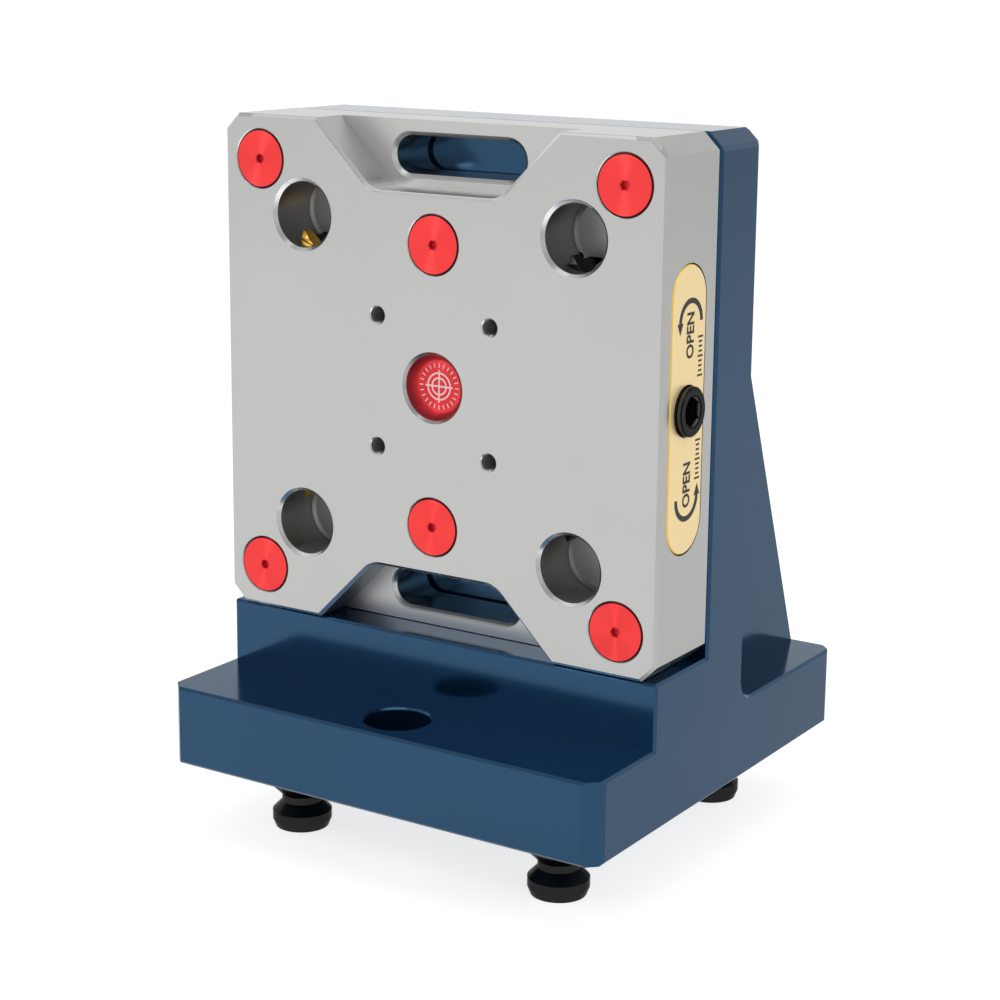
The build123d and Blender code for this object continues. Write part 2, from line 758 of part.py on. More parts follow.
# Caps over the plate screws, each with a seal groove and a small socket to draw it out by
seal_groove_floor = cap_radius - 2 * seal_section_radius - seal_room
with BuildPart() as cap_blank:
    groove_top = -(seal_setback - seal_section_radius - seal_room)
    groove_bottom = -(seal_setback + seal_section_radius + seal_room)
    with BuildSketch(Plane.XZ):
        with BuildLine():
            Polyline(
                (0, 0),
                (cap_radius - cap_chamfer, 0),
                (cap_radius, -cap_chamfer),
                (cap_radius, groove_top),
                (seal_groove_floor, groove_top),
                (seal_groove_floor, groove_bottom),
                (cap_radius, groove_bottom),
                (cap_radius, -cap_thickness),
                (0, -cap_thickness),
                close=True,
            )
        make_face()
    revolve(axis=Axis.Z)
    with BuildSketch():
        RegularPolygon(cap_socket / 2, 6, major_radius=False)
    extrude(amount=-cap_socket_depth, mode=Mode.SUBTRACT)
cap_names = ["upper_left", "upper_right", "lower_left", "lower_right", "upper_middle", "lower_middle"]
for word, place in zip(cap_names, plate_screw_places):
    with BuildPart() as cap:
        with Locations(plate_face):
            with Locations(place):
                add(cap_blank.part)
    save(cap.part, f"cap_{word}")

with BuildPart() as cap_seals:
    with Locations(at_depth(seal_setback)):
        with Locations(*plate_screw_places):
            Torus((cap_radius + seal_groove_floor) / 2, seal_section_radius)
save(cap_seals.part, "cap_seals")

# Centre cap, a shallow dish
with BuildPart() as centre_cap:
    rim_radius = centre_bore_radius - fit_clearance
    cap_floor = centre_back_gap - centre_bore_depth
    with BuildSketch(Plane.XZ):
        with BuildLine():
            Polyline(
                (0, -centre_bore_chamfer - centre_dish_depth),
                (centre_dish_radius, -centre_bore_chamfer - centre_dish_depth),
                (rim_radius - centre_rim, -centre_bore_chamfer),
                (rim_radius, -centre_bore_chamfer),
                (rim_radius, cap_floor),
                (0, cap_floor),
                close=True,
            )
        make_face()
    revolve(axis=Axis.Z)
with BuildPart() as centre_cap_placed:
    with Locations(plate_face):
        add(centre_cap.part)
save(centre_cap_placed.part, "centre_cap")

# Plate screws and dowels
plate_screw_shank = plate_thickness - counterbore_depth + plate_screw_bite
plate_screw = socket_screw(
    plate_screw_head_radius,
    plate_screw_head_height,
    plate_screw_radius,
    plate_screw_shank,
    plate_screw_socket,
    plate_screw_socket_depth,
)
with BuildPart() as plate_screws:
    with Locations(plate_back.offset(counterbore_depth - plate_thickness)):
        with Locations(*plate_screw_places):
            add(plate_screw)
save(plate_screws.part, "plate_screws")

with BuildPart() as dowel_pins:
    with BuildSketch(at_depth(plate_thickness - dowel_in_plate)):
        with Locations(*dowel_places):
            Circle(dowel_radius)
    extrude(amount=-dowel_length)
    chamfer(edges().filter_by(GeomType.CIRCLE), dowel_chamfer)
save(dowel_pins.part, "dowel_pins")

# Pull studs, screwed into the slab
with BuildPart() as pull_stud:
    with BuildSketch(Plane.XZ):
        with BuildLine():
            Polyline(
                (0, stud_shank_top),
                (stud_shank_radius - stud_shank_chamfer, stud_shank_top),
                (stud_shank_radius, stud_shank_top - stud_shank_chamfer),
                (stud_shank_radius, stud_seat_depth),
                (stud_spigot_radius - stud_seat_chamfer, stud_seat_depth),
                (stud_spigot_radius, stud_seat_depth - stud_seat_chamfer),
                (stud_spigot_radius, stud_shoulder_depth),
                (stud_pilot_radius - stud_shoulder_depth, stud_shoulder_depth),
                (stud_pilot_radius, 0),
                (stud_pilot_radius, -stud_pilot_length),
                (stud_waist_radius, -stud_waist_top),
                (stud_waist_radius, -stud_waist_bottom),
                (stud_band_radius, -stud_band_top),
                (stud_band_radius, -stud_band_bottom),
                (stud_nose_radius, -stud_length),
                (0, -stud_length),
                close=True,
            )
        make_face()
    revolve(axis=Axis.Z)
    with BuildSketch(Plane.XY.offset(-stud_length)):
        RegularPolygon(stud_socket / 2, 6, major_radius=False)
    extrude(amount=stud_socket_depth, mode=Mode.SUBTRACT)
    with BuildSketch(Plane.XY.offset(-stud_length)):
        Circle(stud_socket / sqrt(3) + stud_socket_lead / 2)
    extrude(amount=stud_socket_lead, taper=45, mode=Mode.SUBTRACT)
stud_names = {"front_left": (-1, -1), "front_right": (1, -1), "rear_left": (-1, 1), "rear_right": (1, 1)}
for word, (x, y) in stud_names.items():
    with BuildPart() as stud:
        with Locations((x * stud_x, y * stud_x)):
            add(pull_stud.part)
    save(stud.part, f"pull_stud_{word}")
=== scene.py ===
import json
from math import cos, pi, radians, sin

import bmesh
import bpy
from mathutils import Matrix, Vector

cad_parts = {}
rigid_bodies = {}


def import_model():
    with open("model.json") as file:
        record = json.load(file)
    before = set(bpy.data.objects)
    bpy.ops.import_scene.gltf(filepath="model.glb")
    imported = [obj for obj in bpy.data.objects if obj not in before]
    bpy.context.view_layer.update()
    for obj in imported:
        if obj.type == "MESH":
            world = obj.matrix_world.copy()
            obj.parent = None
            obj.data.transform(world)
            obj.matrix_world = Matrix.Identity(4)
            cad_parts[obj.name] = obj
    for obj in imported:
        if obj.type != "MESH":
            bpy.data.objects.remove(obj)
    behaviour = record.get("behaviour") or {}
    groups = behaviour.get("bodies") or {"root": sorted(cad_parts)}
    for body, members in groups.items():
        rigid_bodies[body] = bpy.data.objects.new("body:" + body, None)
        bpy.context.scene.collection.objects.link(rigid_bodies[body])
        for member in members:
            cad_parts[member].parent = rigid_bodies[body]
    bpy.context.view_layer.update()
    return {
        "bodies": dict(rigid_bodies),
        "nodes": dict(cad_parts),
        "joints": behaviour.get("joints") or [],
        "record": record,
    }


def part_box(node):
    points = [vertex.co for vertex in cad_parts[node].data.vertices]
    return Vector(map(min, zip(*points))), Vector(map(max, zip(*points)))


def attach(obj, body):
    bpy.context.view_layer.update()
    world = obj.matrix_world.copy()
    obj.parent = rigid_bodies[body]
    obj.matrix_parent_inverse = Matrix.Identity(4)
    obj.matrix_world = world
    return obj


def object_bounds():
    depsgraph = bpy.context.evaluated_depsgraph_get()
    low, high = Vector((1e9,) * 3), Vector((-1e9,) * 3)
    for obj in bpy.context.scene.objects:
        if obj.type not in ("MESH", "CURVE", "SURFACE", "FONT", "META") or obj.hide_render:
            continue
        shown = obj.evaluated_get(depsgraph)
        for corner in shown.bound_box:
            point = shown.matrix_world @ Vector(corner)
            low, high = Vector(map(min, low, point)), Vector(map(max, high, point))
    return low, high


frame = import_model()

nodes = frame["nodes"]
plateLow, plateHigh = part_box("receiver_plate")
plaqueLow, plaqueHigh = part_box("side_plaque")
screwLow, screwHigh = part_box("actuating_screw")
plateMiddle = (plateLow + plateHigh) / 2
plaqueMiddle = (plaqueLow + plaqueHigh) / 2
screwMiddle = (screwLow + screwHigh) / 2
print("frame loaded:", len(nodes), "pieces")


# small tools

mixUnder, mixOver, mixed = 6, 7, 2  # the Mix node's colour sockets, two in and one out


def mm(value):
    return value / 1000


def mmEach(values):
    return [mm(value) for value in values]


def colour(code):  # sRGB hex to linear, with alpha
    parts = [int(code[i:i + 2], 16) / 255 for i in (1, 3, 5)]
    return tuple(c / 12.92 if c <= 0.04045 else ((c + 0.055) / 1.055) ** 2.4 for c in parts) + (1.0,)


def perMetre(millimetres):  # texture scale that repeats once in this many millimetres
    return 1000 / millimetres


def sizeOf(name):
    low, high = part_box(name)
    return high - low


def addNode(tree, kind, sockets=None, **settings):  # each socket takes a link, a value or a colour's hex code
    node = tree.nodes.new(kind)
    for name, value in settings.items():
        setattr(node, name, value)
    for name, value in (sockets or {}).items():
        if isinstance(value, bpy.types.NodeSocket):
            tree.links.new(value, node.inputs[name])
        else:
            node.inputs[name].default_value = colour(value) if isinstance(value, str) else value
    return node


def startMaterial(name):
    material = bpy.data.materials.new(name)
    material.use_nodes = True
    material.node_tree.nodes.clear()
    return material, material.node_tree


def finishMaterial(material, look, tone, pattern=None, links=None, rougher=()):
    # Roughness and relief follow the pattern where the look has them, and each rougher mask adds its amount
    tree = material.node_tree
    inputs = {"Base Color": tone, **look["sockets"], **(links or {})}
    if "roughness" in look:
        low, high = look["roughness"]
        rough = addNode(tree, "ShaderNodeMapRange", {"Value": pattern, "To Min": low, "To Max": high})
        for mask, amount in rougher:
            sockets = {0: mask, 1: amount, 2: rough.outputs[0]}
            rough = addNode(tree, "ShaderNodeMath", sockets, operation="MULTIPLY_ADD")
        inputs["Roughness"] = rough.outputs[0]
    if "relief" in look:
        strength, depth = look["relief"]
        sockets = {"Height": pattern, "Strength": strength, "Distance": mm(depth)}
        inputs["Normal"] = addNode(tree, "ShaderNodeBump", sockets).outputs[0]
    surface = addNode(tree, "ShaderNodeBsdfPrincipled", inputs)
    addNode(tree, "ShaderNodeOutputMaterial", {"Surface": surface.outputs[0]})
    return material


# patterns and masks

def grain(tree, size, detail=2):  # 0 to 1 noise: one size in millimetres, or three where it is drawn out
    sizes = size if isinstance(size, tuple) else (size, size, size)
    place = addNode(tree, "ShaderNodeTexCoord").outputs["Object"]
    scaled = addNode(tree, "ShaderNodeMapping", {"Vector": place, "Scale": [perMetre(s) for s in sizes]})
    noise = addNode(tree, "ShaderNodeTexNoise", {"Vector": scaled.outputs[0], "Scale": 1.0, "Detail": detail})
    return noise.outputs["Fac"]


def fromMiddle(tree, size):  # place from the middle of a piece of this size
    place = addNode(tree, "ShaderNodeTexCoord").outputs["Generated"]
    shifted = addNode(tree, "ShaderNodeVectorMath", {0: place, 1: (0.5, 0.5, 0.5)}, operation="SUBTRACT")
    real = addNode(tree, "ShaderNodeVectorMath", {0: shifted.outputs[0], 1: size}, operation="MULTIPLY")
    return real.outputs[0]


def fromAxis(tree, place, axis):  # distance from this axis through the place's origin
    across = [0 if name == axis else 1 for name in "XYZ"]
    flat = addNode(tree, "ShaderNodeVectorMath", {0: place, 1: across}, operation="MULTIPLY")
    return addNode(tree, "ShaderNodeVectorMath", {0: flat.outputs[0]}, operation="LENGTH").outputs["Value"]


def turnedRings(tree, size, spacing):  # lathe rings about the middle axis of a piece of this size
    ringRepeat = pi / 10  # length of one ring at a scale of 1
    sockets = {
        "Vector": fromMiddle(tree, size),
        "Scale": perMetre(spacing) * ringRepeat,
        "Distortion": 0.0,
        "Detail": 0.0,
    }
    return addNode(tree, "ShaderNodeTexWave", sockets, wave_type="RINGS", rings_direction="Y").outputs["Fac"]


def layered(tree, tone, *layers):  # colours laid over the first one, each by its mask
    for mask, over in layers:
        mix = addNode(tree, "ShaderNodeMix", {0: mask, mixUnder: tone, mixOver: over}, data_type="RGBA")
        tone = mix.outputs[mixed]
    return tone


def allOf(tree, *masks):  # 1 where every one of these masks is 1
    result = masks[0]
    for mask in masks[1:]:
        result = addNode(tree, "ShaderNodeMath", {0: result, 1: mask}, operation="MULTIPLY").outputs[0]
    return result


def facing(tree, axis, low, high):  # 1 where the normal's part along this axis is between these two
    normal = addNode(tree, "ShaderNodeNewGeometry").outputs["Normal"]
    part = addNode(tree, "ShaderNodeSeparateXYZ", {0: normal}).outputs[axis]
    sockets = {0: part, 1: (low + high) / 2, 2: (high - low) / 2}
    return addNode(tree, "ShaderNodeMath", sockets, operation="COMPARE").outputs[0]


def insideBox(tree, place, middle, half):  # 1 inside a box, sizes in metres
    apart = addNode(tree, "ShaderNodeVectorMath", {0: place, 1: middle}, operation="SUBTRACT")
    folded = addNode(tree, "ShaderNodeVectorMath", {0: apart.outputs[0]}, operation="ABSOLUTE")
    parts = addNode(tree, "ShaderNodeSeparateXYZ", {0: folded.outputs[0]}).outputs
    near = []
    for part, limit in zip(parts, half):
        near.append(addNode(tree, "ShaderNodeMath", {0: part, 1: limit}, operation="LESS_THAN").outputs[0])
    return allOf(tree, *near)


# materials

blue = {
    "dark": "#0C4060",
    "light": "#12466A",
    "cloudSize": 45,
    "grainSize": 0.35,  # etch grain, drawn coarser than the real 0.05 mm to show
    "roughness": (0.14, 0.19),
    "relief": (0.05, 0.01),  # strength, and depth in mm
    "sockets": {"Metallic": 0.88, "Specular Tint": "#C4C8D0", "Coat Weight": 0.55, "Coat Roughness": 0.11},
}


def anodisedAluminium():
    # Milled aluminium, finely etched and dyed blue: a coloured mirror under a clear sealed film,
    # greyer at a low angle
    material, tree = startMaterial("blueAnodisedAluminium")
    tone = layered(tree, blue["dark"], (grain(tree, blue["cloudSize"], 3), blue["light"]))
    return finishMaterial(material, blue, tone, grain(tree, blue["grainSize"]))


plateFinish = {
    "dark": "#BABAB9",
    "light": "#C0C0BF",
    "cloudSize": 38,
    "lineSize": (28, 0.22, 0.22),  # grinding lines from side to side
    "roughness": (0.2, 0.27),
    "relief": (0.06, 0.02),
    "sockets": {"Metallic": 1.0},
    # Masks in mm, across, in and up from the middle of the front face
    # painted shade: the bores' and tapped holes' tones are darker than the face's, from their depth inward
    "bores": {"tone": "#9F9F9E", "at": 48, "reach": 10.9, "depth": 1.2, "rougher": 0.16},
    "holes": {"tone": "#6F6F6E", "at": 20, "reach": 2.7, "depth": 0.7},
    "seat": {"tone": "#1C1B19", "start": 0.06, "end": 1.54, "margin": 0.6},  # painted shade in the gap round the plaque, in from the right side
    "recess": {
        "half": (75, 6.8, 10.2),
        "middle": (0, 7.0, 67.2),
        "rougher": 0.14,
        # painted shade on the recesses' upward floors
        "floor": "#A4A4A3",
        "floorFacing": (0.9, 1.1),
    },
    # painted reflection on the front's chamfers, pale by the way they face
    "chamfer": {
        "dark": "#B4B4B3",
        "light": "#F6F6F5",
        "half": (75, 1.0, 77.4),
        "facing": (-0.95, -0.3),
        "cornerAt": 144,  # across and up, added together
        "down": (-0.05, -0.4, 1.0),  # normal's part where the painted reflection starts and is full, and how pale
        "left": (0.3, 0.0, 0.6),
    },
    # one plain darker grey on the chamfers round the centre cap, in place of the painted reflection
    "centre": {"tone": "#A6A6A5", "half": (12, 12, 12)},
}


def fromFace(tree):  # place from the middle of the plate's front face, its four quarters folded into one
    place = addNode(tree, "ShaderNodeTexCoord").outputs["Object"]
    middle = (0, plateLow.y, plateMiddle.z)
    shifted = addNode(tree, "ShaderNodeVectorMath", {0: place, 1: middle}, operation="SUBTRACT")
    return addNode(tree, "ShaderNodeVectorMath", {0: shifted.outputs[0]}, operation="ABSOLUTE").outputs[0]


def insideHoles(tree, face, holes):  # 1 in four round holes of the plate's face, from their depth inward
    parts = addNode(tree, "ShaderNodeSeparateXYZ", {0: face}).outputs
    flat = addNode(tree, "ShaderNodeCombineXYZ", {"X": parts["X"], "Z": parts["Z"]})
    axis = (mm(holes["at"]), 0, mm(holes["at"]))
    gap = addNode(tree, "ShaderNodeVectorMath", {0: flat.outputs[0], 1: axis}, operation="DISTANCE")
    sockets = {0: gap.outputs["Value"], 1: mm(holes["reach"])}
    near = addNode(tree, "ShaderNodeMath", sockets, operation="LESS_THAN")
    deep = addNode(tree, "ShaderNodeMath", {0: parts["Y"], 1: mm(holes["depth"])}, operation="GREATER_THAN")
    return allOf(tree, near.outputs[0], deep.outputs[0])


# 1 in the plaque's seat, where the gap round the plaque gets painted shade
def insidePlaqueSeat(tree):
    seat = plateFinish["seat"]
    place = addNode(tree, "ShaderNodeTexCoord").outputs["Object"]
    middle = (plateHigh.x - mm(seat["start"] + seat["end"]) / 2, plaqueMiddle.y, plaqueMiddle.z)
    size = sizeOf("side_plaque")
    margin = mm(seat["margin"])
    half = (mm(seat["end"] - seat["start"]) / 2, size.y / 2 + margin, size.z / 2 + margin)
    return insideBox(tree, place, middle, half)


def onFrontChamfers(tree, face):  # 1 on the front face's chamfers, but not on its cut corners
    chamfer = plateFinish["chamfer"]
    front = insideBox(tree, face, (0, 0, 0), mmEach(chamfer["half"]))
    parts = addNode(tree, "ShaderNodeSeparateXYZ", {0: face}).outputs
    both = addNode(tree, "ShaderNodeMath", {0: parts["X"], 1: parts["Z"]}, operation="ADD").outputs[0]
    clear = addNode(tree, "ShaderNodeMath", {0: both, 1: mm(chamfer["cornerAt"])}, operation="LESS_THAN")
    return allOf(tree, front, facing(tree, "Y", *chamfer["facing"]), clear.outputs[0])


def chamferPaintedReflection(tree):  # painted reflection on a cut chamfer: palest where it faces down, and pale where it faces left
    chamfer = plateFinish["chamfer"]
    normal = addNode(tree, "ShaderNodeNewGeometry").outputs["Normal"]
    parts = addNode(tree, "ShaderNodeSeparateXYZ", {0: normal}).outputs
    shares = []
    for axis, (start, end, most) in (("Z", chamfer["down"]), ("X", chamfer["left"])):
        sockets = {"Value": parts[axis], "From Min": start, "From Max": end, "To Min": 0.0, "To Max": most}
        share = addNode(tree, "ShaderNodeMapRange", sockets, interpolation_type="SMOOTHSTEP")
        shares.append(share.outputs[0])
    reflectedShare = addNode(tree, "ShaderNodeMath", {0: shares[0], 1: shares[1]}, operation="MAXIMUM").outputs[0]
    return layered(tree, chamfer["dark"], (reflectedShare, chamfer["light"]))


def platedSteel():
    # Surface-ground steel with a nickel plate: pale, satin, with faint grinding lines from side to side.
    # The bores and tapped holes are painted much darker, as painted shade inside them. The front's chamfers
    # get a painted reflection, palest where they face down, and the milled recesses are duller than the
    # ground face, with painted shade on their upward floors
    material, tree = startMaterial("nickelPlatedSteel")
    bore, hole, recess, centre = [plateFinish[part] for part in ("bores", "holes", "recess", "centre")]
    face = fromFace(tree)
    bores = insideHoles(tree, face, bore)
    recesses = insideBox(tree, face, mmEach(recess["middle"]), mmEach(recess["half"]))
    chamfers = onFrontChamfers(tree, face)
    middle = insideBox(tree, face, (0, 0, 0), mmEach(centre["half"]))
    tone = layered(
        tree,
        plateFinish["dark"],
        (grain(tree, plateFinish["cloudSize"]), plateFinish["light"]),
        (bores, bore["tone"]),
        (insideHoles(tree, face, hole), hole["tone"]),
        (insidePlaqueSeat(tree), plateFinish["seat"]["tone"]),  # painted shade, seen in the gap round the plaque
        (allOf(tree, recesses, facing(tree, "Z", *recess["floorFacing"])), recess["floor"]),
        (chamfers, chamferPaintedReflection(tree)),
        (allOf(tree, middle, chamfers), centre["tone"]),
    )
    lines = grain(tree, plateFinish["lineSize"], 3)
    rougher = ((bores, bore["rougher"]), (recesses, recess["rougher"]))
    return finishMaterial(material, plateFinish, tone, lines, rougher=rougher)


turnedRed = {
    "ringSpacing": 0.35,
    "sockets": {"Metallic": 0.75, "Roughness": 0.31, "Anisotropic": 0.95, "Anisotropic Rotation": 0.25},
}
capFinish = {
    **turnedRed,
    "dark": "#FA3436",
    "light": "#FF4E4C",
    "relief": (0.12, 0.02),
    "countersinkShade": ("#D8323A", 1.55, 1.75),  # painted shade round the socket's mouth, fading out between these radii
    "rim": ("#43080B", 4, 5),  # chamfer and side, in the shade of the gap: fading in between these radii
    "rimFacing": (-0.9, 0.9),
}
dishFinish = {
    **turnedRed,
    "dark": "#D8343A",
    "light": "#E63E45",
    "relief": (0.08, 0.02),
    "slope": ("#EA444A", 6.7, 7.3),  # painted highlight where the floor turns up: radii where the colour starts to change, and where it is full
    # painted shade on the dish's wall
    "wallShade": ("#84202A", 7.3, 9.5),
}


def beyond(tree, size, start, end):  # 0 to 1 between two distances in mm from the middle axis of a cap
    away = fromAxis(tree, fromMiddle(tree, size), "Y")
    sockets = {"Value": away, "From Min": mm(start), "From Max": mm(end)}
    return addNode(tree, "ShaderNodeMapRange", sockets, interpolation_type="SMOOTHSTEP").outputs[0]


def capPaintedShade(tree, tone, size):  # painted shade: deeper round the socket's mouth, and dark where the rim is in shade
    mouthShadeTone, *mouthEdge = capFinish["countersinkShade"]
    shade, *rimEdge = capFinish["rim"]
    outside = beyond(tree, size, *mouthEdge)
    mouth = addNode(tree, "ShaderNodeMath", {0: 1.0, 1: outside}, operation="SUBTRACT").outputs[0]
    rim = allOf(tree, facing(tree, "Y", *capFinish["rimFacing"]), beyond(tree, size, *rimEdge))
    return layered(tree, tone, (mouth, mouthShadeTone), (rim, shade))


def dishPaintedLight(tree, tone, size):  # painted highlight where the floor turns up, and painted shade on the wall
    for code, start, end in (dishFinish["slope"], dishFinish["wallShade"]):
        tone = layered(tree, tone, (beyond(tree, size, start, end), code))
    return tone


def redAnodised(name, look, size, shades):
    # Turned aluminium, bright dipped and dyed red: fine lathe rings that draw the light into a radial streak
    material, tree = startMaterial(name)
    rings = turnedRings(tree, size, look["ringSpacing"])
    tone = shades(tree, layered(tree, look["dark"], (rings, look["light"])), size)
    tangent = addNode(tree, "ShaderNodeTangent", direction_type="RADIAL", axis="Y")
    return finishMaterial(material, look, tone, rings, {"Tangent": tangent.outputs[0]})


gold = {
    "dark": "#FCDDA3",
    "light": "#FFE8B1",
    # painted highlight on the plaque's edges
    "edge": "#F6CF52",
    "highlightFacing": (-1.1, 0.93),
    "lineSize": (0.15, 0.15, 12),
    "roughness": (0.3, 0.4),
    "relief": (0.08, 0.02),
    "sockets": {"Metallic": 0.6},
}


def goldAnodised():
    # Thin aluminium plate dyed gold, with a fine brushed grain along its length and a painted highlight on
    # its edges
    material, tree = startMaterial("goldAnodisedPlate")
    lines = grain(tree, gold["lineSize"])
    # painted highlight wherever the plaque doesn't face out of the side
    edge = facing(tree, "X", *gold["highlightFacing"])
    tone = layered(tree, gold["dark"], (lines, gold["light"]), (edge, gold["edge"]))
    return finishMaterial(material, gold, tone, lines)


oxide = {
    "relief": (0.06, 0.02),
    "sockets": {"Metallic": 0.9, "Coat Roughness": 0.25, "Specular Tint": "#8C9090"},
    "worn": "#6A6B69",
    "wornRadius": 0.12,
    "wornMost": 0.7,
    "wornFrom": (0.8, 0.99),  # likeness of the rounded and the real normal where wear is full, and ends
}
blackened = {
    "blackOxideSteel": {
        "dark": "#252525", "light": "#303030", "patchSize": 1.5, "roughness": (0.38, 0.5), "oil": 0.3,
    },
    "blackOxideScrewHead": {
        "dark": "#222827", "light": "#323736", "patchSize": 2.0, "roughness": (0.34, 0.44), "oil": 0.18,
    },
    "blackOxideJaw": {
        "dark": "#121212", "light": "#1E1E1E", "patchSize": 1.0, "roughness": (0.25, 0.35), "oil": 0.3,
    },
    "polishedBlackStud": {
        "dark": "#1B1B1A", "light": "#262524", "patchSize": 3.0, "roughness": (0.16, 0.24), "oil": 0.3,
    },
}
screwHead = {  # rings: middle and half width in mm, and colour; painted highlight on the rim and side, painted shade at the edge and in the groove
    "rim": (5.25, 0.22, "#383A3A"),  # round the socket, from the axis
    "side": (0.9, 0.5, "#45484A"),  # the rest is measured in from the face
    "edge": (0.2, 0.22, "#050505"),
    "groove": (1.55, 0.25, "#050505"),
    "offFace": (-0.5, 0.95),
}


def wornEdges(tree):  # 0 on the faces, and up to the most wear along the edges
    rounded = addNode(tree, "ShaderNodeBevel", {"Radius": mm(oxide["wornRadius"])}, samples=6)
    normal = addNode(tree, "ShaderNodeNewGeometry").outputs["Normal"]
    alike = addNode(tree, "ShaderNodeVectorMath", {0: rounded.outputs[0], 1: normal}, operation="DOT_PRODUCT")
    sockets = {
        "Value": alike.outputs["Value"],
        "From Min": oxide["wornFrom"][0],
        "From Max": oxide["wornFrom"][1],
        "To Min": oxide["wornMost"],
        "To Max": 0.0,
    }
    return addNode(tree, "ShaderNodeMapRange", sockets).outputs[0]


def headPaintedLight(tree, tone):  # painted shade in the head's groove and bevel, painted highlight on its side and socket rim
    size = sizeOf("actuating_screw")
    place = fromMiddle(tree, size)
    away = fromAxis(tree, place, "X")
    along = addNode(tree, "ShaderNodeSeparateXYZ", {0: place}).outputs["X"]
    behind = addNode(tree, "ShaderNodeMath", {0: size.x / 2, 1: along}, operation="SUBTRACT").outputs[0]
    offFace = facing(tree, "X", *screwHead["offFace"])
    for ring in ("rim", "side", "edge", "groove"):
        middle, half, code = screwHead[ring]
        sockets = {0: away if ring == "rim" else behind, 1: mm(middle), 2: mm(half)}
        near = addNode(tree, "ShaderNodeMath", sockets, operation="COMPARE").outputs[0]
        tone = layered(tree, tone, (near if ring == "rim" else allOf(tree, near, offFace), code))
    return tone


def blackOxide(name, shades=None):
    # Machined steel, blackened in a hot salt bath: near black with a soft oily shine, faint grey patches
    # and edges that handling has worn paler
    look = {**oxide, **blackened[name]}
    material, tree = startMaterial(name)
    patches = grain(tree, look["patchSize"], 3)
    tone = layered(tree, look["dark"], (patches, look["light"]), (wornEdges(tree), look["worn"]))
    if shades:
        tone = shades(tree, tone)
    return finishMaterial(material, look, tone, patches, {"Coat Weight": look["oil"]})


ground = {"relief": (0.1, 0.02), "sockets": {"Metallic": 1.0}}
groundSteels = {
    "groundCoverSteel": {
        "dark": "#A2A2A4", "light": "#B4B4B5", "roughness": (0.3, 0.42), "lineSize": (0.2, 0.2, 15),
    },
    "groundPinSteel": {
        "dark": "#B8B8B8", "light": "#CFCFCF", "roughness": (0.15, 0.25), "lineSize": (15, 0.2, 0.2),
    },
    "hardenedNutSteel": {
        "dark": "#8A8A8C", "light": "#9C9C9E", "roughness": (0.3, 0.4), "lineSize": (0.2, 0.2, 15),
    },
}


def groundSteel(name):
    # Ground tool steel: cool grey with fine straight lines
    look = {**ground, **groundSteels[name]}
    material, tree = startMaterial(name)
    lines = grain(tree, look["lineSize"])
    return finishMaterial(material, look, layered(tree, look["dark"], (lines, look["light"])), lines)


lipCoat = {
    "dark": "#DDA93C",
    "light": "#F2C666",
    "shadeBehind": "#131211",
    "depth": 11.6,  # gold to this depth behind the plate's face, painted shade behind it
    "mottleSize": 1.2,
    "roughness": (0.16, 0.24),
    "sockets": {"Metallic": 1.0},
}


def hardCoatedSteel():
    # Hardened steel with a thin gold-coloured hard coat on the lip: bright facets, slightly mottled,
    # black painted shade behind
    material, tree = startMaterial("goldCoatedSteel")
    mottle = grain(tree, lipCoat["mottleSize"])
    position = addNode(tree, "ShaderNodeNewGeometry").outputs["Position"]
    inward = addNode(tree, "ShaderNodeSeparateXYZ", {0: position}).outputs["Y"]
    limit = plateLow.y + mm(lipCoat["depth"])
    behind = addNode(tree, "ShaderNodeMath", {0: inward, 1: limit}, operation="GREATER_THAN").outputs[0]
    tone = layered(tree, lipCoat["dark"], (mottle, lipCoat["light"]), (behind, lipCoat["shadeBehind"]))
    return finishMaterial(material, lipCoat, tone, mottle)


bronze = {
    "dark": "#8A6232",
    "light": "#B4874C",
    "poreSize": 0.4,
    "relief": (0.2, 0.03),
    "sockets": {"Metallic": 1.0, "Roughness": 0.45},
}


def bearingBronze():
    # Sintered bronze, turned: warm brown metal with tiny pores
    material, tree = startMaterial("bearingBronze")
    pores = grain(tree, bronze["poreSize"], 4)
    return finishMaterial(material, bronze, layered(tree, bronze["dark"], (pores, bronze["light"])), pores)


rubber = {
    "dark": "#161616",
    "light": "#262524",
    "bloomSize": 0.8,
    "relief": (0.2, 0.03),
    "sockets": {"Roughness": 0.7, "IOR": 1.52},
}


def sealRubber():
    # Moulded nitrile rubber: matt black with a faint bloom
    material, tree = startMaterial("nitrileRubber")
    bloom = grain(tree, rubber["bloomSize"], 3)
    return finishMaterial(material, rubber, layered(tree, rubber["dark"], (bloom, rubber["light"])), bloom)


ink = {
    "blackFilledEngraving": ("#12120E", "#1C1C17"),
    "paleFilledEngraving": ("#F6D6D3", "#FDE6E3"),
    "unevenSize": 0.5,
    "sockets": {"Roughness": 0.55, "IOR": 1.5},
}


def filledInk(name):
    # Paint wiped into a shallow engraving: flat colour, a little uneven
    dark, light = ink[name]
    material, tree = startMaterial(name)
    return finishMaterial(material, ink, layered(tree, dark, (grain(tree, ink["unevenSize"]), light)))


